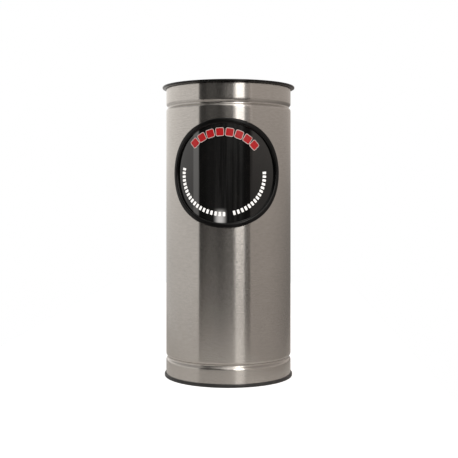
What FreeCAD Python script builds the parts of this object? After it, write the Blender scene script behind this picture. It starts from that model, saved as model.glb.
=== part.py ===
import FreeCAD, Part
import math
import os

from FreeCAD import Vector

# Round steel drum with a lift-off lid, a floor to stand things on and an oval window.
# Millimetres, +Z up. The origin is on the ground, on the drum's axis.
# The window faces -Y.

# Drum: one steel sheet, rolled and welded at the back
shell_radius = 135.0
sheet_thickness = 0.8
overall_height = 625.0

# Swaged grooves, pressed inwards all round
groove_height = 16.0
groove_depth = 3.7
groove_valley_radius = 3.5
lower_groove_z = 42.7
upper_groove_to_mouth = 42.6

# Black ring that grips the drum's lower edge and is its foot
base_ring_height = 7.0
base_ring_sole = 2.5
base_ring_outer_wall = 3.4
base_ring_inner_wall = 2.6
base_ring_inner_height = 9.0
base_ring_rounding = 2.2
grip_clearance = 0.1

# Floor plate, laid on the inside of the lower groove
floor_thickness = 1.5
floor_edge_clearance = 0.6
floor_seat_clearance = 0.05

# Lid: steel disc, black rim round its edge, collar under it
lid_thickness = 1.2
rim_height = 4.8
rim_overhang = 8.3
rim_lower_lip = 1.8
rim_wall = 1.8
rim_upper_lip_width = 7.0
rim_rounding = 1.9
rim_mouth_clearance = 0.6
collar_thickness = 1.0
collar_height = 22.0
collar_flange_width = 10.0
collar_clearance = 1.0
collar_bend_radius = 2.0

# Window: oval in the flat sheet, so its half width is measured round the drum
window_centre_z = 435.2
gasket_half_width = 122.8
gasket_half_height = 112.0
gasket_band = 10.5
gasket_outer_rise = 4.5
gasket_inner_rise = 3.0
gasket_sheet_grip = 4.5
gasket_web = 2.0
gasket_outer_rounding = 3.2
gasket_inner_rounding = 1.2
pane_thickness = 3.0
pane_setback = 1.0
window_clearance = 0.1

# Print on the pane: an arch of plain red marks with a pale border, and two arcs of short
# upright dashes. Both lie on ovals inside the gasket's, a little left of its middle, the
# arch's centre above it and the dashes' below it. Angles run round those ovals, the arch's
# from the top and the dashes' from the bottom.
print_thickness = 0.15
print_centre_x = -5.0
mark_inset = 37.0
mark_centre_rise = 8.8
mark_count = 8
mark_width = 15.2
mark_height = 15.2
mark_corner = 2.4
mark_border = 1.2
mark_middle_angle = 2.5
mark_half_angle = 47.5
dash_inset = 32.7
dash_centre_drop = 4.0
dash_width = 4.9
dash_height = 8.6
dash_corner = 1.0
dash_step_angle = 5.6
left_dash_count = 19
left_dash_first_angle = -1.5
right_dash_count = 15
right_dash_first_angle = 15.0

# Worked out from the sizes above
shell_inner_radius = shell_radius - sheet_thickness
rim_radius = shell_radius + rim_overhang
rim_bottom_z = overall_height - rim_height
lid_underside_z = rim_bottom_z + rim_lower_lip
mouth_z = lid_underside_z
upper_groove_z = mouth_z - upper_groove_to_mouth
groove_half = groove_height / 2
groove_shoulder_radius = (
    (groove_half ** 2 + groove_depth ** 2) / (2 * groove_depth) - groove_valley_radius
)
pane_outer_radius = shell_radius - pane_setback
pane_inner_radius = pane_outer_radius - pane_thickness
gasket_outer_radius = shell_radius + gasket_outer_rise
gasket_inner_radius = pane_inner_radius - gasket_inner_rise
hole_inset = gasket_sheet_grip
pane_inset = gasket_sheet_grip + gasket_web


def revolved(points):
    """Solid of revolution about Z from a closed outline of (radius, z) points."""
    corners = [Vector(r, 0, z) for r, z in points]
    face = Part.Face(Part.makePolygon(corners + corners[:1]))
    return face.revolve(Vector(0, 0, 0), Vector(0, 0, 1), 360)


def circle_edges(shape, radius, z):
    """Circular edges of a revolved solid at one radius and height."""
    found = []
    for edge in shape.Edges:
        curve = edge.Curve
        if isinstance(curve, Part.Circle) and abs(curve.Radius - radius) < 1e-4:
            if abs(curve.Center.z - z) < 1e-4:
                found.append(edge)
    return found


def rounded(shape, places, rounding):
    """The solid with its circular edges at the given (radius, z) places rounded."""
    edges = []
    for radius, z in places:
        edges += circle_edges(shape, radius, z)
    return shape.makeFillet(rounding, edges)


def groove_arcs(radius, centre_z, offset):
    """Four tangent arcs of one groove, from its lower end up, for the sheet's outer face
    (offset 0) or its inner face (offset = sheet thickness)."""
    shoulder = groove_shoulder_radius - offset
    valley = groove_valley_radius + offset
    tilt = math.asin(groove_half / (groove_shoulder_radius + groove_valley_radius))
    shoulder_r = radius - groove_shoulder_radius
    valley_r = radius - groove_depth + groove_valley_radius

    def shoulder_point(sign, angle):
        z_centre = centre_z + sign * groove_half
        return Vector(shoulder_r + shoulder * math.cos(angle), 0,
                      z_centre - sign * shoulder * math.sin(angle))

    def valley_point(sign, angle):
        return Vector(valley_r - valley * math.cos(angle), 0,
                      centre_z + sign * valley * math.sin(angle))

    arcs = [
        Part.Arc(shoulder_point(-1, 0), shoulder_point(-1, tilt / 2), shoulder_point(-1, tilt)),
        Part.Arc(valley_point(-1, tilt), valley_point(-1, tilt / 2), valley_point(-1, 0)),
        Part.Arc(valley_point(1, 0), valley_point(1, tilt / 2), valley_point(1, tilt)),
        Part.Arc(shoulder_point(1, tilt), shoulder_point(1, tilt / 2), shoulder_point(1, 0)),
    ]
    return [arc.toShape() for arc in arcs]


def sheet_face(radius, offset):
    """Edges of one face of the sheet's section, from the lower edge up to the mouth."""
    face_radius = radius - offset
    edges = []
    z = base_ring_sole
    for centre_z in (lower_groove_z, upper_groove_z):
        low = Vector(face_radius, 0, z)
        high = Vector(face_radius, 0, centre_z - groove_half)
        edges.append(Part.makeLine(low, high))
        edges += groove_arcs(radius, centre_z, offset)
        z = centre_z + groove_half
    edges.append(Part.makeLine(Vector(face_radius, 0, z), Vector(face_radius, 0, mouth_z)))
    return edges


def oval_wall(inset):
    """Surface that stands straight out through the sheet round the window, for the oval
    whose half axes are the gasket's less the inset. Its rays run out from the axis."""
    half_width = gasket_half_width - inset
    half_height = gasket_half_height - inset
    rings = []
    for radius in (gasket_inner_radius - gasket_band, gasket_outer_radius + gasket_band):
        points = []
        steps = 72
        for step in range(steps):
            turn = 2 * math.pi * step / steps
            around = half_width * math.cos(turn) / shell_radius
            points.append(Vector(radius * math.sin(around), -radius * math.cos(around),
                                 window_centre_z + half_height * math.sin(turn)))
        ring = Part.BSplineCurve()
        ring.interpolate(Points=points, PeriodicFlag=True)
        rings.append(Part.Wire([ring.toShape()]))
    return Part.makeLoft(rings, False, True, False)


def split_by_oval(shape, inset):
    """The shape's two pieces, inside and outside the oval."""
    pieces = shape.generalFuse([oval_wall(inset)])[0].Solids
    pieces.sort(key=lambda piece: piece.BoundBox.ZLength)
    return pieces[0], pieces[-1]


def front_layer(inner_radius, outer_radius):
    """Half tube on the window's side, between two radii, tall enough for the gasket."""
    low_z = window_centre_z - gasket_half_height - gasket_band
    high_z = window_centre_z + gasket_half_height + gasket_band
    corners = [Vector(-outer_radius, 0, low_z), Vector(-inner_radius, 0, low_z),
               Vector(-inner_radius, 0, high_z), Vector(-outer_radius, 0, high_z)]
    section = Part.Face(Part.makePolygon(corners + corners[:1]))
    return section.revolve(Vector(0, 0, 0), Vector(0, 0, 1), 180)


def make_body_shell():
    outer = sheet_face(shell_radius, 0)
    inner = sheet_face(shell_radius, sheet_thickness)
    sole = Part.makeLine(Vector(shell_inner_radius, 0, base_ring_sole),
                         Vector(shell_radius, 0, base_ring_sole))
    mouth = Part.makeLine(Vector(shell_inner_radius, 0, mouth_z),
                          Vector(shell_radius, 0, mouth_z))
    edges = outer + inner + [sole, mouth]
    section = Part.Face(Part.Wire(Part.__sortEdges__(edges)))
    drum = section.revolve(Vector(0, 0, 0), Vector(0, 0, 1), 360)
    # The sheet's join is at the back, away from the window
    drum.rotate(Vector(0, 0, 0), Vector(0, 0, 1), 90)
    return split_by_oval(drum, hole_inset)[1]


def make_base_ring():
    outside = shell_radius + base_ring_outer_wall
    inside = shell_inner_radius - base_ring_inner_wall
    slot_out = shell_radius + grip_clearance
    slot_in = shell_inner_radius - grip_clearance
    ring = revolved([
        (inside, 0), (outside, 0), (outside, base_ring_height),
        (slot_out, base_ring_height), (slot_out, base_ring_sole),
        (slot_in, base_ring_sole), (slot_in, base_ring_inner_height),
        (inside, base_ring_inner_height),
    ])
    return rounded(ring, [(outside, 0), (outside, base_ring_height)], base_ring_rounding)


def floor_seat_z():
    """Height where the floor plate's edge meets the inside of the lower groove."""
    shoulder = groove_shoulder_radius - sheet_thickness
    reach = shoulder - floor_edge_clearance
    drop = math.sqrt(shoulder ** 2 - reach ** 2)
    return lower_groove_z + groove_half - drop + floor_seat_clearance


def make_bottom_plate():
    radius = shell_inner_radius - floor_edge_clearance
    return Part.makeCylinder(radius, floor_thickness, Vector(0, 0, floor_seat_z()))


def make_lid_plate():
    radius = rim_radius - rim_wall
    return Part.makeCylinder(radius, lid_thickness, Vector(0, 0, lid_underside_z))


def make_lid_rim():
    slot_r = rim_radius - rim_wall
    lower_r = shell_radius + rim_mouth_clearance
    upper_r = rim_radius - rim_upper_lip_width
    lid_top_z = lid_underside_z + lid_thickness
    ring = revolved([
        (lower_r, rim_bottom_z), (rim_radius, rim_bottom_z), (rim_radius, overall_height),
        (upper_r, overall_height), (upper_r, lid_top_z), (slot_r, lid_top_z),
        (slot_r, lid_underside_z), (lower_r, lid_underside_z),
    ])
    places = [(rim_radius, rim_bottom_z), (rim_radius, overall_height)]
    return rounded(ring, places, rim_rounding)


def make_lid_collar():
    outside = shell_inner_radius - collar_clearance
    inside = outside - collar_thickness
    flange_r = outside - collar_flange_width
    flange_z = lid_underside_z - collar_thickness
    low_z = lid_underside_z - collar_height
    ring = revolved([
        (inside, low_z), (outside, low_z), (outside, lid_underside_z),
        (flange_r, lid_underside_z), (flange_r, flange_z), (inside, flange_z),
    ])
    bent = rounded(ring, [(outside, lid_underside_z)], collar_bend_radius)
    return rounded(bent, [(inside, flange_z)], collar_bend_radius - collar_thickness)


def make_window_gasket():
    band = front_layer(gasket_inner_radius, gasket_outer_radius)
    band = split_by_oval(band, 0)[0]
    band = split_by_oval(band, gasket_band)[1]
    long_edges = [edge for edge in band.Edges if edge.Length > gasket_half_width]

    def mean_radius(edge):
        points = edge.discretize(9)
        return sum(math.hypot(point.x, point.y) for point in points) / len(points)

    middle_radius = (gasket_inner_radius + gasket_outer_radius) / 2
    outer_edges = [edge for edge in long_edges if mean_radius(edge) > middle_radius]
    band = band.makeFillet(gasket_outer_rounding, outer_edges)
    long_edges = [edge for edge in band.Edges if edge.Length > gasket_half_width]
    inner_limit = gasket_inner_radius + gasket_inner_rounding / 2
    inner_edges = [edge for edge in long_edges if mean_radius(edge) < inner_limit]
    band = band.makeFillet(gasket_inner_rounding, inner_edges)

    sheet_slot = front_layer(shell_inner_radius - window_clearance,
                             shell_radius + window_clearance)
    sheet_slot = split_by_oval(sheet_slot, hole_inset + window_clearance)[1]
    pane_slot = front_layer(pane_inner_radius - window_clearance,
                            pane_outer_radius + window_clearance)
    pane_slot = split_by_oval(pane_slot, pane_inset - window_clearance)[0]
    return band.cut(sheet_slot).cut(pane_slot)


def make_window_pane():
    layer = front_layer(pane_inner_radius, pane_outer_radius)
    return split_by_oval(layer, pane_inset)[0]


def mark_block(width, height, corner, inset, rise, angle):
    """A block that stands straight out through the print for one rounded mark. Its middle
    is on the oval of the given inset and rise, at an angle from straight up, clockwise as
    seen from outside, and its top points out of the oval."""
    low = pane_outer_radius - pane_thickness
    depth = gasket_outer_radius - low
    block = Part.makeBox(width, depth, height,
                         Vector(-width / 2, -gasket_outer_radius, -height / 2))
    edges = [edge for edge in block.Edges
             if abs(edge.Vertexes[0].Y - edge.Vertexes[1].Y) > depth / 2]
    block = block.makeFillet(corner, edges)
    half_width = gasket_half_width - inset
    half_height = gasket_half_height - inset
    turn = math.radians(angle)
    lean = math.atan2(math.sin(turn) / half_width, math.cos(turn) / half_height)
    block.rotate(Vector(0, 0, 0), Vector(0, 1, 0), math.degrees(lean))
    block.translate(Vector(0, 0, window_centre_z + rise + half_height * math.cos(turn)))
    around = (print_centre_x + half_width * math.sin(turn)) / shell_radius
    block.rotate(Vector(0, 0, 0), Vector(0, 0, 1), math.degrees(around))
    return block


def make_sign_marks(width, height, corner, inner):
    """The arch of marks, at one size and one layer of print."""
    layer = front_layer(inner, inner + print_thickness)
    marks = []
    for index in range(mark_count):
        share = index / (mark_count - 1)
        angle = mark_middle_angle + mark_half_angle * (2 * share - 1)
        block = mark_block(width, height, corner, mark_inset, mark_centre_rise, angle)
        marks.append(block.common(layer))
    return Part.makeCompound(marks)


def make_dashes(side, count, first_angle):
    """One arc of dashes below the arch, on the left (-1) or the right (+1)."""
    layer = front_layer(pane_outer_radius, pane_outer_radius + print_thickness)
    dashes = []
    for index in range(count):
        from_bottom = first_angle + index * dash_step_angle
        block = mark_block(dash_width, dash_height, dash_corner, dash_inset,
                           -dash_centre_drop, side * (180 - from_bottom))
        dashes.append(block.common(layer))
    return Part.makeCompound(dashes)


def main():
    border = 2 * mark_border
    nodes = {
        "body_shell": make_body_shell(),
        "base_ring": make_base_ring(),
        "bottom_plate": make_bottom_plate(),
        "lid_plate": make_lid_plate(),
        "lid_rim": make_lid_rim(),
        "lid_collar": make_lid_collar(),
        "window_gasket": make_window_gasket(),
        "window_pane": make_window_pane(),
        "sign_borders": make_sign_marks(mark_width + border, mark_height + border,
                                        mark_corner + mark_border, pane_outer_radius),
        "sign_marks": make_sign_marks(mark_width, mark_height, mark_corner,
                                      pane_outer_radius + print_thickness),
        "dashes_left": make_dashes(-1, left_dash_count, left_dash_first_angle),
        "dashes_right": make_dashes(1, right_dash_count, right_dash_first_angle),
    }
    os.makedirs("parts", exist_ok=True)
    for name, shape in nodes.items():
        shape.exportStep("parts/" + name + ".step")
        print(name, len(shape.Solids), round(shape.Volume, 3), shape.isValid())


main()
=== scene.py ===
import math

import bpy
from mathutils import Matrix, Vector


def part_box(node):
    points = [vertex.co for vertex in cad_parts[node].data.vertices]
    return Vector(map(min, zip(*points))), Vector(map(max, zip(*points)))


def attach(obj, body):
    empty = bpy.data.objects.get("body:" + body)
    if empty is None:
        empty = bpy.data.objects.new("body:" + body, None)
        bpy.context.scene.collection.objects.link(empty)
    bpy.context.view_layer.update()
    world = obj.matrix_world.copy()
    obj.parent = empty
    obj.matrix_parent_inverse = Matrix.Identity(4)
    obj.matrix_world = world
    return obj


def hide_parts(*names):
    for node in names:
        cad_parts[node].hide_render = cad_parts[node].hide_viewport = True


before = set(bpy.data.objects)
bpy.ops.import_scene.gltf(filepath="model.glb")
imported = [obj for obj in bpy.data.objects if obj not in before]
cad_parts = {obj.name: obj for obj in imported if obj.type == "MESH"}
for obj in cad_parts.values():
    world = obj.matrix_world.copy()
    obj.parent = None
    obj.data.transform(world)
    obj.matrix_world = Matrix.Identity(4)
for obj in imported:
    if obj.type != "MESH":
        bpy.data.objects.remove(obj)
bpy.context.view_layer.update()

# Sizes in metres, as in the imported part. Heights come from the frame's boxes.
SHELL_RADIUS = 0.135
SHEET = 0.0008
GROOVE_HEIGHT = 0.016
GROOVE_DEPTH = 0.0037
GROOVE_VALLEY = 0.0035
LOWER_GROOVE_Z = 0.0427
UPPER_GROOVE_TO_MOUTH = 0.0426

BASE_OUTER_WALL = 0.0034
BASE_INNER_WALL = 0.0026
BASE_HEIGHT = 0.007
BASE_SOLE = 0.0025
BASE_ROUNDING = 0.0022
GRIP_CLEARANCE = 0.0001

RIM_HEIGHT = 0.0048
RIM_OVERHANG = 0.0083
RIM_LOWER_LIP = 0.0018
RIM_WALL = 0.0018
RIM_UPPER_LIP_WIDTH = 0.007
RIM_ROUNDING = 0.0019
RIM_MOUTH_CLEARANCE = 0.0006
LID_THICKNESS = 0.0012

WINDOW_HALF_WIDTH = 0.1228
WINDOW_HALF_HEIGHT = 0.112
GASKET_BAND = 0.0105
GASKET_OUTER_RISE = 0.0045
GASKET_INNER_RISE = 0.003
GASKET_GRIP = 0.0045
GASKET_WEB = 0.002
GASKET_OUTER_ROUNDING = 0.0032
GASKET_INNER_ROUNDING = 0.0012
PANE_THICKNESS = 0.003
PANE_SETBACK = 0.001
WINDOW_CLEARANCE = 0.0001

PRINT_THICKNESS = 0.00015
PRINT_CENTRE_X = -0.005
MARK_INSET = 0.037
MARK_CENTRE_RISE = 0.0088
MARK_COUNT = 8
MARK_WIDTH = 0.0152
MARK_HEIGHT = 0.0152
MARK_CORNER = 0.0024
MARK_BORDER = 0.0012
MARK_MIDDLE_ANGLE = 2.5
MARK_HALF_ANGLE = 47.5
DASH_INSET = 0.0327
DASH_CENTRE_DROP = 0.004
DASH_WIDTH = 0.0049
DASH_HEIGHT = 0.0086
DASH_CORNER = 0.001
DASH_STEP_ANGLE = 5.6
LEFT_DASH_COUNT = 19
LEFT_DASH_FIRST_ANGLE = -1.5
RIGHT_DASH_COUNT = 15
RIGHT_DASH_FIRST_ANGLE = 15.0

# Places read from the frame
shell_low, shell_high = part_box("body_shell")
gasket_low, gasket_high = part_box("window_gasket")
MOUTH_Z = shell_high.z
WINDOW_Z = (gasket_low.z + gasket_high.z) / 2
LID_TOP_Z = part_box("lid_rim")[1].z
PANE_OUTER = SHELL_RADIUS - PANE_SETBACK
PANE_INNER = PANE_OUTER - PANE_THICKNESS

# Mesh fineness
AROUND = 288
WINDOW_ROW = 0.0038
MOUTH_ROWS = 8
ARC_STEPS = 6
FINE_ARC_STEPS = 8
OVAL_STEPS = 240
PANE_RINGS = 30
MARK_RINGS = 4
DASH_RINGS = 2
SMOOTH_ANGLE = 40.0
SHEET_SMOOTH_ANGLE = 60.0


# Mesh helpers

def add_mesh(name, points, faces, slot, node, smooth_angle=SMOOTH_ANGLE):
    """A piece that stands for one node of the frame and hides that node; the slot is not used."""
    mesh = bpy.data.meshes.new(name)
    mesh.from_pydata(points, [], faces)
    mesh.validate()
    mesh.update()
    mesh.shade_smooth()
    mesh.set_sharp_from_angle(angle=math.radians(smooth_angle))
    piece = bpy.data.objects.new(name, mesh)
    bpy.context.scene.collection.objects.link(piece)
    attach(piece, "root")
    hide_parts(node)
    return piece


def quarter(centre, radius, start, end, steps=ARC_STEPS):
    """Points of an arc in a section, angles in degrees."""
    points = []
    for step in range(steps + 1):
        angle = math.radians(start + (end - start) * step / steps)
        points.append((centre[0] + radius * math.cos(angle),
                       centre[1] + radius * math.sin(angle)))
    return points


def lathe(section, around=AROUND):
    """Points and faces of a closed (radius, z) section turned about the axis."""
    points = []
    faces = []
    count = len(section)
    for turn in range(around):
        angle = 2 * math.pi * turn / around
        for radius, z in section:
            points.append((radius * math.sin(angle), -radius * math.cos(angle), z))
    for turn in range(around):
        here = turn * count
        there = (turn + 1) % around * count
        for i in range(count):
            j = (i + 1) % count
            faces.append((here + i, there + i, there + j, here + j))
    return points, faces


def on_drum(across, up, radius):
    """A point of the flat sheet, measured from the window's centre, laid on the drum."""
    angle = across / SHELL_RADIUS
    return (radius * math.sin(angle), -radius * math.cos(angle), WINDOW_Z + up)


def oval(inset, turn):
    """Point of the flat oval whose half axes are the gasket's less the inset."""
    return ((WINDOW_HALF_WIDTH - inset) * math.cos(turn),
            (WINDOW_HALF_HEIGHT - inset) * math.sin(turn))


def curved_patch(outline, centre, rings, outer, inner):
    """A thin patch of the drum's curve: the outline filled by rings about its centre, with
    an outer and an inner face and an edge between them."""
    count = len(outline)
    points = []
    faces = []
    for radius in (outer, inner):
        points.append(on_drum(*centre, radius))
        for ring in range(1, rings + 1):
            share = ring / rings
            for x, y in outline:
                points.append(on_drum(centre[0] + (x - centre[0]) * share,
                                      centre[1] + (y - centre[1]) * share, radius))
    layer = 1 + rings * count

    def index(side, ring, i):
        return side * layer + 1 + (ring - 1) * count + i % count

    for i in range(count):
        faces.append((0, index(0, 1, i), index(0, 1, i + 1)))
        faces.append((layer, index(1, 1, i + 1), index(1, 1, i)))
        for ring in range(1, rings):
            faces.append((index(0, ring, i), index(0, ring + 1, i),
                          index(0, ring + 1, i + 1), index(0, ring, i + 1)))
            faces.append((index(1, ring, i + 1), index(1, ring + 1, i + 1),
                          index(1, ring + 1, i), index(1, ring, i)))
        faces.append((index(0, rings, i), index(1, rings, i),
                      index(1, rings, i + 1), index(0, rings, i + 1)))
    return points, faces


def merged(patches):
    """Points and faces of several patches as one mesh."""
    points = []
    faces = []
    for patch_points, patch_faces in patches:
        first = len(points)
        points += patch_points
        faces += [tuple(first + i for i in face) for face in patch_faces]
    return points, faces


# Drum

def groove_rows(centre_z):
    """(radius, z) of one groove, from its lower end up: shoulder, valley, shoulder."""
    half = GROOVE_HEIGHT / 2
    both = (half ** 2 + GROOVE_DEPTH ** 2) / (2 * GROOVE_DEPTH)
    shoulder = both - GROOVE_VALLEY
    tilt = math.degrees(math.asin(half / both))
    shoulder_r = SHELL_RADIUS - shoulder
    valley_r = SHELL_RADIUS - GROOVE_DEPTH + GROOVE_VALLEY
    rows = quarter((shoulder_r, centre_z - half), shoulder, 0, tilt)
    rows += quarter((valley_r, centre_z), GROOVE_VALLEY, 180 + tilt, 180 - tilt,
                    FINE_ARC_STEPS)[1:-1]
    rows += quarter((shoulder_r, centre_z + half), shoulder, -tilt, 0)
    return rows


def shell_rows():
    """(radius, z) of the sheet's outer face, from the lower edge up to the mouth."""
    upper_groove_z = MOUTH_Z - UPPER_GROOVE_TO_MOUTH
    rows = []
    low = shell_low.z
    for centre_z in (LOWER_GROOVE_Z, upper_groove_z):
        high = centre_z - GROOVE_HEIGHT / 2
        spans = max(2, round((high - low) / WINDOW_ROW))
        rows += [(SHELL_RADIUS, low + (high - low) * i / spans) for i in range(spans)]
        rows += groove_rows(centre_z)
        low = centre_z + GROOVE_HEIGHT / 2
    for i in range(1, MOUTH_ROWS + 1):
        rows.append((SHELL_RADIUS, low + (MOUTH_Z - low) * i / MOUTH_ROWS))
    return rows


def make_shell():
    """The sheet as a grid of its outer face, with the window's hole, given its thickness. Grid
    points beside the hole move onto its edge."""
    rows = shell_rows()
    half_width = WINDOW_HALF_WIDTH - GASKET_GRIP
    half_height = WINDOW_HALF_HEIGHT - GASKET_GRIP
    step = 2 * math.pi * SHELL_RADIUS / AROUND

    def reach(across, up):
        return math.hypot(across / half_width, up / half_height)

    grid = []
    for radius, z in rows:
        for turn in range(AROUND):
            across = (turn / AROUND - 0.5) * 2 * math.pi * SHELL_RADIUS
            grid.append([across, z - WINDOW_Z, radius])
    faces = []
    sides_of = {}
    for row in range(len(rows) - 1):
        for turn in range(AROUND):
            there = (turn + 1) % AROUND
            face = (row * AROUND + turn, row * AROUND + there,
                    (row + 1) * AROUND + there, (row + 1) * AROUND + turn)
            middle_across = grid[face[0]][0] + step / 2
            middle_up = (grid[face[0]][1] + grid[face[3]][1]) / 2
            kept = reach(middle_across, middle_up) > 1
            if kept:
                faces.append(face)
            for corner in face:
                sides_of.setdefault(corner, set()).add(kept)
    for corner, sides in sides_of.items():
        if len(sides) == 2:
            across, up, radius = grid[corner]
            scale = reach(across, up)
            grid[corner] = [across / scale, up / scale, radius]
    used = sorted({corner for face in faces for corner in face})
    new_index = {corner: i for i, corner in enumerate(used)}
    points = [on_drum(*grid[corner]) for corner in used]
    faces = [tuple(new_index[corner] for corner in face) for face in faces]
    shell = add_mesh("drum_sheet", points, faces, "shell_steel", "body_shell",
                     SHEET_SMOOTH_ANGLE)
    wall = shell.modifiers.new("sheet", "SOLIDIFY")
    wall.thickness = SHEET
    wall.offset = -1
    return shell


# Rings

def make_base_ring():
    outside = SHELL_RADIUS + BASE_OUTER_WALL
    inside = SHELL_RADIUS - SHEET - BASE_INNER_WALL
    slot_out = SHELL_RADIUS + GRIP_CLEARANCE
    slot_in = SHELL_RADIUS - SHEET - GRIP_CLEARANCE
    ring_low, ring_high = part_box("base_ring")
    turn_in = outside - BASE_ROUNDING
    section = quarter((turn_in, ring_low.z + BASE_ROUNDING), BASE_ROUNDING, -90, 0)
    section += quarter((turn_in, BASE_HEIGHT - BASE_ROUNDING), BASE_ROUNDING, 0, 90)
    section += [(slot_out, BASE_HEIGHT), (slot_out, BASE_SOLE), (slot_in, BASE_SOLE),
                (slot_in, ring_high.z), (inside, ring_high.z), (inside, ring_low.z)]
    points, faces = lathe(section)
    return add_mesh("foot_ring", points, faces, "base_rubber", "base_ring")


def make_lid_rim():
    outside = SHELL_RADIUS + RIM_OVERHANG
    low = LID_TOP_Z - RIM_HEIGHT
    plate_low = low + RIM_LOWER_LIP
    plate_high = plate_low + LID_THICKNESS
    slot = outside - RIM_WALL
    mouth = SHELL_RADIUS + RIM_MOUTH_CLEARANCE
    upper = outside - RIM_UPPER_LIP_WIDTH
    turn_in = outside - RIM_ROUNDING
    section = quarter((turn_in, low + RIM_ROUNDING), RIM_ROUNDING, -90, 0)
    section += quarter((turn_in, LID_TOP_Z - RIM_ROUNDING), RIM_ROUNDING, 0, 90)
    section += [(upper, LID_TOP_Z), (upper, plate_high), (slot, plate_high),
                (slot, plate_low), (mouth, plate_low), (mouth, low)]
    points, faces = lathe(section)
    return add_mesh("lid_edge", points, faces, "rim_plastic", "lid_rim")


# Window

def gasket_section():
    """Closed outline of the rubber, as (inset from the outer oval, radius)."""
    outer = SHELL_RADIUS + GASKET_OUTER_RISE
    inner = PANE_INNER - GASKET_INNER_RISE
    far = GASKET_BAND
    big = GASKET_OUTER_ROUNDING
    small = GASKET_INNER_ROUNDING
    sheet_out = SHELL_RADIUS + WINDOW_CLEARANCE
    sheet_in = SHELL_RADIUS - SHEET - WINDOW_CLEARANCE
    sheet_end = GASKET_GRIP + WINDOW_CLEARANCE
    pane_out = PANE_OUTER + WINDOW_CLEARANCE
    pane_in = PANE_INNER - WINDOW_CLEARANCE
    pane_end = GASKET_GRIP + GASKET_WEB - WINDOW_CLEARANCE
    section = quarter((big, outer - big), big, 180, 90, FINE_ARC_STEPS)
    section += quarter((far - big, outer - big), big, 90, 0, FINE_ARC_STEPS)
    section += [(far, pane_out), (pane_end, pane_out), (pane_end, pane_in), (far, pane_in)]
    section += quarter((far - small, inner + small), small, 0, -90)
    section += quarter((small, inner + small), small, -90, -180)
    section += [(0, sheet_in), (sheet_end, sheet_in), (sheet_end, sheet_out), (0, sheet_out)]
    return section


def make_gasket():
    section = gasket_section()
    count = len(section)
    points = []
    faces = []
    for step in range(OVAL_STEPS):
        turn = 2 * math.pi * step / OVAL_STEPS
        for inset, radius in section:
            points.append(on_drum(*oval(inset, turn), radius))
    for step in range(OVAL_STEPS):
        here = step * count
        there = (step + 1) % OVAL_STEPS * count
        for i in range(count):
            j = (i + 1) % count
            faces.append((here + i, here + j, there + j, there + i))
    return add_mesh("window_rubber", points, faces, "gasket_rubber", "window_gasket")


def make_pane():
    inset = GASKET_GRIP + GASKET_WEB
    outline = [oval(inset, 2 * math.pi * i / OVAL_STEPS) for i in range(OVAL_STEPS)]
    points, faces = curved_patch(outline, (0, 0), PANE_RINGS, PANE_OUTER, PANE_INNER)
    return add_mesh("smoked_pane", points, faces, "smoked_acrylic", "window_pane")


def mark_outline(width, height, corner, inset, rise, angle):
    """Outline of one rounded mark on the oval of the given inset and rise, and its middle."""
    half_width = WINDOW_HALF_WIDTH - inset
    half_height = WINDOW_HALF_HEIGHT - inset
    turn = math.radians(angle)
    lean = math.atan2(math.sin(turn) / half_width, math.cos(turn) / half_height)
    middle = (PRINT_CENTRE_X + half_width * math.sin(turn),
              rise + half_height * math.cos(turn))
    corners = []
    for start, sign_x, sign_y in ((0, 1, 1), (90, -1, 1), (180, -1, -1), (270, 1, -1)):
        centre = (sign_x * (width / 2 - corner), sign_y * (height / 2 - corner))
        corners += quarter(centre, corner, start, start + 90)
    outline = []
    for x, y in corners:
        outline.append((middle[0] + x * math.cos(lean) + y * math.sin(lean),
                        middle[1] - x * math.sin(lean) + y * math.cos(lean)))
    return outline, middle


def arch_patches(width, height, corner, inner):
    """The marks of the arch, with their inner face at the given radius."""
    patches = []
    for index in range(MARK_COUNT):
        share = index / (MARK_COUNT - 1)
        angle = MARK_MIDDLE_ANGLE + MARK_HALF_ANGLE * (2 * share - 1)
        outline, middle = mark_outline(width, height, corner, MARK_INSET,
                                       MARK_CENTRE_RISE, angle)
        patches.append(curved_patch(outline, middle, MARK_RINGS, inner + PRINT_THICKNESS,
                                    inner))
    return merged(patches)


def dash_patches(side, count, first_angle):
    """One arc of dashes from the bottom up: side is -1 at the left and 1 at the right."""
    patches = []
    for index in range(count):
        from_bottom = first_angle + index * DASH_STEP_ANGLE
        outline, middle = mark_outline(DASH_WIDTH, DASH_HEIGHT, DASH_CORNER, DASH_INSET,
                                       -DASH_CENTRE_DROP, side * (180 - from_bottom))
        patches.append(curved_patch(outline, middle, DASH_RINGS,
                                    PANE_OUTER + PRINT_THICKNESS, PANE_OUTER))
    return merged(patches)


def make_print():
    border = 2 * MARK_BORDER
    pale = arch_patches(MARK_WIDTH + border, MARK_HEIGHT + border,
                        MARK_CORNER + MARK_BORDER, PANE_OUTER)
    red = arch_patches(MARK_WIDTH, MARK_HEIGHT, MARK_CORNER, PANE_OUTER + PRINT_THICKNESS)
    left = dash_patches(-1, LEFT_DASH_COUNT, LEFT_DASH_FIRST_ANGLE)
    right = dash_patches(1, RIGHT_DASH_COUNT, RIGHT_DASH_FIRST_ANGLE)
    return [
        add_mesh("arch_borders", *pale, "white_print", "sign_borders"),
        add_mesh("arch_marks", *red, "red_print", "sign_marks"),
        add_mesh("dashes_at_left", *left, "white_print", "dashes_left"),
        add_mesh("dashes_at_right", *right, "white_print", "dashes_right"),
    ]


# Node helpers

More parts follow.
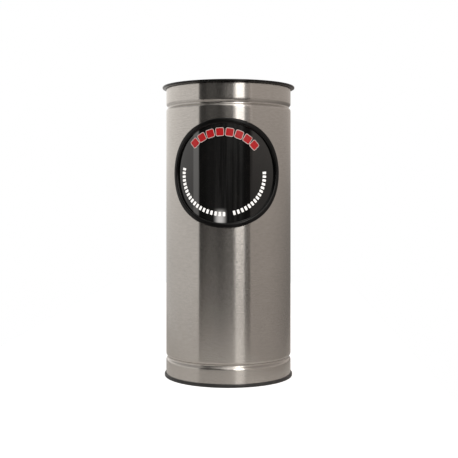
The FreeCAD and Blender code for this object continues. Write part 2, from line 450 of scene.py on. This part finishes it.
class Nodes:
    """Short ways to add nodes and join them."""

    def __init__(self, tree):
        self.tree = tree
        self.tree.nodes.clear()

    def add(self, kind, inputs=(), **settings):
        node = self.tree.nodes.new(kind)
        for key, value in settings.items():
            setattr(node, key, value)
        for key, value in dict(inputs).items():
            self.feed(node.inputs[key], value)
        return node

    def feed(self, socket, value):
        if isinstance(value, bpy.types.NodeSocket):
            self.tree.links.new(value, socket)
        else:
            socket.default_value = value

    def math(self, operation, *values):
        node = self.add("ShaderNodeMath", dict(enumerate(values)), operation=operation)
        return node.outputs[0]

    def smooth(self, value, low, high, to_low=0.0, to_high=1.0):
        """A soft step from to_low to to_high as the value goes from low to high."""
        node = self.add("ShaderNodeMapRange", {
            "Value": value, "From Min": low, "From Max": high,
            "To Min": to_low, "To Max": to_high,
        }, interpolation_type="SMOOTHSTEP")
        return node.outputs["Result"]

    def spread(self, value, low, high, to_low, to_high):
        """A straight ramp from to_low to to_high as the value goes from low to high."""
        node = self.add("ShaderNodeMapRange", {
            "Value": value, "From Min": low, "From Max": high,
            "To Min": to_low, "To Max": to_high,
        })
        return node.outputs["Result"]

    def vector(self, x, y, z):
        return self.add("ShaderNodeCombineXYZ", {0: x, 1: y, 2: z}).outputs[0]

    def drum_noise(self, around, height, around_count, height_count, depth=0.0,
                   detail=2.0, roughness=0.5):
        """Noise on the drum with the given number of cells in a metre round it and up it."""
        place = self.vector(self.math("MULTIPLY", around, around_count),
                            self.math("MULTIPLY", height, height_count), depth)
        return self.noise(place, 1.0, detail, roughness)

    def noise(self, vector, scale, detail=2.0, roughness=0.5):
        node = self.add("ShaderNodeTexNoise", {
            "Vector": vector, "Scale": scale, "Detail": detail, "Roughness": roughness,
        })
        return node.outputs["Fac"]

    def mix_colour(self, share, first, second):
        node = self.add("ShaderNodeMix", {"Factor": share}, data_type="RGBA")
        self.feed(node.inputs[6], first)
        self.feed(node.inputs[7], second)
        return node.outputs[2]

    def bump(self, height, strength, distance):
        node = self.add("ShaderNodeBump", {
            "Height": height, "Strength": strength, "Distance": distance,
        })
        return node.outputs["Normal"]

    def drum_place(self):
        """Metres round the drum from the window's middle, the height and the whole place."""
        place = self.add("ShaderNodeTexCoord").outputs["Object"]
        split = self.add("ShaderNodeSeparateXYZ", {0: place})
        x, y, z = split.outputs
        angle = self.math("ARCTAN2", x, self.math("MULTIPLY", y, -1.0))
        around = self.math("MULTIPLY", angle, SHELL_RADIUS)
        return around, z, place


def new_material(name):
    material = bpy.data.materials.new(name)
    material.use_nodes = True
    return material, Nodes(material.node_tree)


def finish_material(nodes, inputs):
    shader = nodes.add("ShaderNodeBsdfPrincipled", inputs)
    output = nodes.add("ShaderNodeOutputMaterial")
    nodes.tree.links.new(shader.outputs[0], output.inputs["Surface"])


def colour(red, green, blue):
    return (red, green, blue, 1.0)


# Materials

STEEL_DARK = colour(0.565, 0.539, 0.508)
STEEL_LIGHT = colour(0.675, 0.645, 0.611)
WELD_TINT = colour(0.42, 0.39, 0.35)
WELD_HALF_WIDTH = 0.004
WELD_CORE = 0.0012
BUMP_DEPTH = 0.0004


def drum_steel():
    """Satin stainless sheet, brushed round the drum, with the weld ground flush at the back."""
    material, nodes = new_material("drum_steel")
    around, height, place = nodes.drum_place()
    grain = nodes.drum_noise(around, height, 14.0, 1500.0, detail=4.0, roughness=0.65)
    streaks = nodes.drum_noise(around, height, 70.0, 380.0, detail=3.0, roughness=0.6)
    bands = nodes.drum_noise(around, height, 60.0, 3.0)
    smudge = nodes.noise(place, 9.0, 3.0)
    tone = nodes.math("ADD", nodes.math("MULTIPLY", grain, 0.35),
                      nodes.math("MULTIPLY", streaks, 0.45))
    tone = nodes.math("ADD", tone, nodes.math("MULTIPLY", smudge, 0.2))
    shade = nodes.mix_colour(nodes.smooth(tone, 0.3, 0.7), STEEL_DARK, STEEL_LIGHT)
    back = math.pi * SHELL_RADIUS
    weld = nodes.smooth(nodes.math("ABSOLUTE", around), back - WELD_HALF_WIDTH,
                        back - WELD_CORE)
    shade = nodes.mix_colour(nodes.math("MULTIPLY", weld, 0.5), shade, WELD_TINT)
    speckle = nodes.drum_noise(around, height, 190.0, 430.0)
    rough = nodes.math("ADD", nodes.spread(speckle, 0.25, 0.75, 0.165, 0.237),
                       nodes.math("MULTIPLY", weld, 0.12))
    relief = nodes.math("ADD", nodes.math("MULTIPLY", grain, 0.010),
                        nodes.math("MULTIPLY", bands, 0.012))
    relief = nodes.math("ADD", relief, nodes.math("MULTIPLY", weld, 0.25))
    tangent = nodes.add("ShaderNodeTangent", direction_type="RADIAL", axis="Z")
    finish_material(nodes, {
        "Base Color": shade,
        "Metallic": 1.0,
        "Roughness": rough,
        "Anisotropic": 1.0,
        "Anisotropic Rotation": 0.25,
        "Tangent": tangent.outputs[0],
        "Normal": nodes.bump(relief, 0.5, BUMP_DEPTH),
    })
    return material


def plate_steel(name, roughness):
    """Satin stainless disc, brushed one way."""
    material, nodes = new_material(name)
    place = nodes.add("ShaderNodeTexCoord").outputs["Object"]
    stretched = nodes.add("ShaderNodeMapping", {"Vector": place, "Scale": (6, 1400, 6)})
    grain = nodes.noise(stretched.outputs[0], 1.0, 4.0, 0.65)
    smudge = nodes.noise(place, 11.0, 3.0)
    shade = nodes.mix_colour(nodes.smooth(grain, 0.3, 0.7), STEEL_DARK, STEEL_LIGHT)
    rough = nodes.math("ADD", nodes.spread(grain, 0.2, 0.8, roughness - 0.05,
                                           roughness + 0.05),
                       nodes.math("MULTIPLY", smudge, 0.08))
    finish_material(nodes, {
        "Base Color": shade,
        "Metallic": 1.0,
        "Roughness": rough,
        "Normal": nodes.bump(grain, 0.35, 0.0001),
    })
    return material


def black_rubber(name, tone, roughness, grain_size, sheen):
    """Extruded black rubber: fine grain, slightly uneven sheen."""
    material, nodes = new_material(name)
    place = nodes.add("ShaderNodeTexCoord").outputs["Object"]
    grain = nodes.noise(place, grain_size, 3.0, 0.6)
    cloud = nodes.noise(place, 35.0, 2.0)
    shade = nodes.mix_colour(nodes.smooth(cloud, 0.35, 0.7),
                             colour(tone * 0.8, tone * 0.8, tone * 0.8),
                             colour(tone * 1.25, tone * 1.22, tone * 1.18))
    finish_material(nodes, {
        "Base Color": shade,
        "Roughness": nodes.spread(cloud, 0.3, 0.7, roughness - 0.05, roughness + 0.06),
        "Specular IOR Level": sheen,
        "Normal": nodes.bump(grain, 0.25, 0.0001),
    })
    return material


# Places of the painted glow on the pane, in metres round the drum from the window's middle and
# above the ground
PATCH_MIDDLE = -0.0105
PATCH_CORE, PATCH_REACH = 0.0015, 0.0155
PATCH_FOOT = (0.328, 0.338)
PATCH_TOP = (0.348, 0.366)
PATCH_GLOW = 0.5
STREAK_GLOW = 0.012
STREAKS_FROM = (-0.026, -0.017)
STREAKS_TO = (0.034, 0.040)
LEFT_BAND_FROM = (-0.072, -0.068)
LEFT_BAND_TO = (-0.0595, -0.0555)
LEFT_BAND_GLOW = 0.05


def smoked_acrylic():
    """Nearly black acrylic, polished, with a faint ripple and dust. Painted light glows in it
    as faint upright streaks, a band at the left and one pale patch near the bottom, though
    the pane is no lamp."""
    material, nodes = new_material("smoked_acrylic")
    around, height, place = nodes.drum_place()

    def between(value, start, stop):
        return nodes.math("MULTIPLY", nodes.smooth(value, *start),
                          nodes.smooth(value, *stop, 1.0, 0.0))

    ripple = nodes.drum_noise(around, height, 45.0, 6.0)
    dust = nodes.noise(place, 60.0, 4.0, 0.6)
    # Painted light: glowing streaks, a glowing band at the left and a glowing patch near the
    # bottom
    streaks = nodes.smooth(nodes.drum_noise(around, height, 170.0, 5.0, 3.0, 3.0, 0.6),
                           0.3, 0.75, 0.0, STREAK_GLOW)
    streaks = nodes.math("MULTIPLY", streaks, between(around, STREAKS_FROM, STREAKS_TO))
    left_band = between(around, LEFT_BAND_FROM, LEFT_BAND_TO)
    # inside sums this painted glow, given to the pane as emission
    inside = nodes.math("ADD", streaks, nodes.math("MULTIPLY", left_band, LEFT_BAND_GLOW))
    across = nodes.math("ABSOLUTE", nodes.math("SUBTRACT", around, PATCH_MIDDLE))
    patch = nodes.smooth(across, PATCH_CORE, PATCH_REACH, 1.0, 0.0)
    patch = nodes.math("MULTIPLY", patch, between(height, PATCH_FOOT, PATCH_TOP))
    inside = nodes.math("ADD", inside, nodes.math("MULTIPLY", patch, PATCH_GLOW))
    finish_material(nodes, {
        "Base Color": nodes.mix_colour(nodes.smooth(dust, 0.45, 0.8),
                                       colour(0.004, 0.004, 0.004),
                                       colour(0.010, 0.009, 0.008)),
        "Roughness": nodes.spread(dust, 0.3, 0.8, 0.03, 0.07),
        "IOR": 1.75,
        "Emission Color": colour(1.0, 0.97, 0.94),
        "Emission Strength": inside,
        "Normal": nodes.bump(ripple, 0.3, 0.0003),
    })
    return material


def printed_film(name, shade, worn, glow):
    """Screen-printed ink with a faint unevenness, made bright by painted light: it glows in its
    own colour.
    """
    material, nodes = new_material(name)
    place = nodes.add("ShaderNodeTexCoord").outputs["Object"]
    mottle = nodes.noise(place, 420.0, 3.0, 0.6)
    ink = nodes.mix_colour(nodes.smooth(mottle, 0.35, 0.75), shade, worn)
    finish_material(nodes, {
        "Base Color": ink,
        # Painted light: the ink glows in its own colour, at the strength given
        "Emission Color": ink,
        "Emission Strength": glow,
        "Roughness": nodes.spread(mottle, 0.3, 0.7, 0.3, 0.42),
        "Normal": nodes.bump(mottle, 0.1, 0.00005),
    })
    return material


def dress(piece, material):
    piece.data.materials.clear()
    piece.data.materials.append(material)


# Studio

CAMERA_AZIMUTH = 2.7

# Directions in the studio, in degrees, and its light where no card is
BEHIND = 185.0
UNDER = -90.0
WALL_TOP = 62.0
OVERHEAD = 95.0
LEFT_WALL_END = -54.9
RIGHT_WALL_START = 44.0
FRONT_END = 33.0
DARK_LEVEL = 0.042

# Floor, a sheet of pale paper: edges in metres, and its light for the camera and the rest
FLOOR_EDGES = (-0.6, 0.44, -0.76, 2.0)
FLOOR_DROP = 0.0002
FLOOR_GLOW = 0.085
FLOOR_GLOW_SEEN = 0.85


class World(Nodes):
    """The studio as the steel sees it: pale and dark fields round the drum. Azimuths are in
    degrees from the camera's side, to the photo's right, and elevations from level."""

    def __init__(self, tree):
        super().__init__(tree)
        ray = self.add("ShaderNodeTexCoord").outputs["Generated"]
        x, y, z = self.add("ShaderNodeSeparateXYZ", {0: ray}).outputs
        turn = math.radians(CAMERA_AZIMUTH)
        side = self.math("ADD", self.math("MULTIPLY", x, math.cos(turn)),
                         self.math("MULTIPLY", y, math.sin(turn)))
        front = self.math("SUBTRACT", self.math("MULTIPLY", x, math.sin(turn)),
                          self.math("MULTIPLY", y, math.cos(turn)))
        self.azimuth = self.math("DEGREES", self.math("ARCTAN2", side, front))
        self.elevation = self.math("DEGREES", self.math("ARCSINE", z))

    def field(self, strength, azimuths, elevations, edge=(1.0, 1.0), rise=6.0):
        """A card of light: its strength, where it starts and ends, and half the width of
        its soft edges, at the left and right, and below and above."""
        left = self.smooth(self.azimuth, azimuths[0] - edge[0], azimuths[0] + edge[0])
        right = self.smooth(self.azimuth, azimuths[1] - edge[1], azimuths[1] + edge[1],
                            1.0, 0.0)
        low = self.smooth(self.elevation, elevations[0] - rise, elevations[0] + rise)
        high = self.smooth(self.elevation, elevations[1] - rise, elevations[1] + rise,
                           1.0, 0.0)
        shape = self.math("MULTIPLY", self.math("MULTIPLY", left, right),
                          self.math("MULTIPLY", low, high))
        return self.math("MULTIPLY", shape, strength)


def make_world():
    """The studio for the steel, and white for the camera."""
    world = bpy.data.worlds.new("studio")
    bpy.context.scene.world = world
    world.use_nodes = True
    nodes = World(world.node_tree)
    left = (-BEHIND, LEFT_WALL_END)
    right = (RIGHT_WALL_START, BEHIND)
    fields = [
        # left wall: the whole, its lower part, its band at eye level and its far end
        nodes.field(0.33, left, (UNDER, WALL_TOP), (1.0, 0.6)),
        nodes.field(0.19, left, (UNDER, 24.0), (1.0, 0.6), 5.0),
        nodes.field(0.34, left, (1.0, 13.0), (1.0, 0.6), 3.0),
        nodes.field(0.14, (-BEHIND, -105.0), (6.0, 18.0), (1.0, 20.0), 4.0),
        # dark front: a faint gleam, and the paler part beside the lamp
        nodes.field(0.035, (-40.0, -20.0), (UNDER, WALL_TOP), (5.0, 6.0)),
        nodes.field(0.17, (-6.0, 31.0), (5.0, WALL_TOP), (9.0, 1.5), 3.0),
        # lamp: the bright card, its glow above and its left edge
        nodes.field(3.5, (13.6, 29.3), (6.2, 48.0), (2.0, 1.2), 1.6),
        nodes.field(1.0, (-10.0, 32.0), (28.0, 60.0), (14.0, 4.0), 7.0),
        nodes.field(1.7, (9.4, 14.4), (11.0, 48.0), (1.8, 2.0), 3.0),
        # right wall: the whole, its foot, its upper part, its band and its end by the lamp
        nodes.field(0.16, (40.0, BEHIND), (UNDER, WALL_TOP), (1.0, 1.0)),
        nodes.field(0.14, (40.0, 110.0), (UNDER, 1.0), (1.0, 45.0)),
        nodes.field(0.12, right, (2.0, WALL_TOP), (2.0, 1.0), 3.0),
        nodes.field(0.20, right, (2.0, 24.0), (2.0, 1.0), 3.0),
        nodes.field(0.68, (29.6, RIGHT_WALL_START), (7.0, WALL_TOP), (0.8, 2.0), 2.0),
        # ceiling over the left wall, the front and the right wall
        nodes.field(0.22, left, (WALL_TOP, OVERHEAD), (1.0, 1.0), 8.0),
        nodes.field(1.0, (LEFT_WALL_END, FRONT_END), (60.0, OVERHEAD), (1.0, 1.0), 8.0),
        nodes.field(0.30, (FRONT_END, BEHIND), (WALL_TOP, OVERHEAD), (1.0, 1.0), 8.0),
    ]
    level = DARK_LEVEL
    for card in fields:
        level = nodes.math("ADD", level, card)
    warmth = nodes.smooth(nodes.azimuth, 30.0, 41.0)
    tint = nodes.mix_colour(warmth, colour(1.0, 0.97, 0.935), colour(1.0, 0.915, 0.85))
    studio = nodes.add("ShaderNodeBackground", {"Color": tint, "Strength": level})
    backdrop = nodes.add("ShaderNodeBackground", {"Color": colour(1, 1, 1),
                                                  "Strength": 1.0})
    seen = nodes.add("ShaderNodeLightPath").outputs["Is Camera Ray"]
    mixed = nodes.add("ShaderNodeMixShader", {0: seen, 1: studio.outputs[0],
                                              2: backdrop.outputs[0]})
    output = nodes.add("ShaderNodeOutputWorld")
    nodes.tree.links.new(mixed.outputs[0], output.inputs["Surface"])


def make_floor():
    """Paper under the drum, with painted shade that greys it towards the sides, most at the
    right. The drum's low parts reflect it.
    """
    left, right, front, back = FLOOR_EDGES
    mesh = bpy.data.meshes.new("floor")
    corners = [(left, front), (right, front), (right, back), (left, back)]
    mesh.from_pydata([(x, y, -FLOOR_DROP) for x, y in corners], [], [(0, 1, 2, 3)])
    floor = bpy.data.objects.new("floor", mesh)
    bpy.context.scene.collection.objects.link(floor)
    material, nodes = new_material("pale_floor")
    place = nodes.add("ShaderNodeTexCoord").outputs["Object"]
    across = nodes.add("ShaderNodeSeparateXYZ", {0: place}).outputs[0]
    # Painted shade: the paper greys to the right of the drum, where its shadow falls, and less to
    # the left
    shade = nodes.mix_colour(nodes.smooth(across, 0.08, 0.30), colour(0.85, 0.83, 0.81),
                             colour(0.40, 0.37, 0.34))
    shade = nodes.mix_colour(nodes.smooth(across, -0.45, -0.15, 1.0, 0.0), shade,
                             colour(0.62, 0.59, 0.56))
    matt = nodes.add("ShaderNodeBsdfDiffuse", {"Color": shade})
    seen = nodes.add("ShaderNodeLightPath").outputs["Is Camera Ray"]
    strength = nodes.spread(seen, 0.0, 1.0, FLOOR_GLOW, FLOOR_GLOW_SEEN)
    glow = nodes.add("ShaderNodeEmission", {"Color": colour(1, 1, 1),
                                            "Strength": strength})
    both = nodes.add("ShaderNodeAddShader", {0: matt.outputs[0], 1: glow.outputs[0]})
    output = nodes.add("ShaderNodeOutputMaterial")
    nodes.tree.links.new(both.outputs[0], output.inputs["Surface"])
    dress(floor, material)


def make_camera():
    """The photo's view: level, at eye_height, with the axis and the horizon where it has them."""
    distance = 1.915
    eye_height = 0.3906
    lens = 69.1
    sensor_width = 36.0
    frame_pixels = 458
    axis_pixel = 228.45
    horizon_pixel = 195.0
    turn = math.radians(CAMERA_AZIMUTH)
    camera_data = bpy.data.cameras.new("camera")
    camera_data.lens = lens
    camera_data.sensor_width = sensor_width
    camera_data.sensor_fit = "HORIZONTAL"
    camera_data.shift_x = (frame_pixels / 2 - axis_pixel) / frame_pixels
    camera_data.shift_y = (horizon_pixel - frame_pixels / 2) / frame_pixels
    camera_data.clip_start = 0.05
    camera = bpy.data.objects.new("camera", camera_data)
    camera.location = (distance * math.sin(turn), -distance * math.cos(turn), eye_height)
    camera.rotation_euler = (math.radians(90), 0, turn)
    bpy.context.scene.collection.objects.link(camera)
    bpy.context.scene.camera = camera


def dress_frame_nodes():
    """Finish of the solids that show as they are."""
    lid = plate_steel("lid_steel", 0.3)
    mill = plate_steel("mill_steel", 0.38)
    for name, material in (("lid_plate", lid), ("bottom_plate", mill), ("lid_collar", mill)):
        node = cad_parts[name]
        node.data.materials.clear()
        node.data.materials.append(material)


def build():
    dress(make_shell(), drum_steel())
    dress(make_base_ring(), black_rubber("foot_rubber", 0.035, 0.42, 2200.0, 0.5))
    dress(make_lid_rim(), black_rubber("rim_black", 0.004, 0.13, 900.0, 0.4))
    dress(make_gasket(), black_rubber("seal_rubber", 0.004, 0.30, 2200.0, 0.3))
    dress(make_pane(), smoked_acrylic())
    # The last number of each ink is its painted glow.
    white = printed_film("white_ink", colour(0.88, 0.87, 0.85), colour(0.8, 0.79, 0.76), 0.8)
    cream = printed_film("pale_ink", colour(0.8, 0.7, 0.66), colour(0.7, 0.6, 0.56), 0.25)
    red = printed_film("red_ink", colour(0.55, 0.012, 0.016), colour(0.46, 0.010, 0.013), 0.28)
    borders, marks, left, right = make_print()
    dress(borders, cream)
    dress(marks, red)
    dress(left, white)
    dress(right, white)
    dress_frame_nodes()
    make_floor()
    make_world()
    make_camera()
    bpy.context.scene.view_settings.view_transform = "Standard"


build()
bpy.context.view_layer.update()
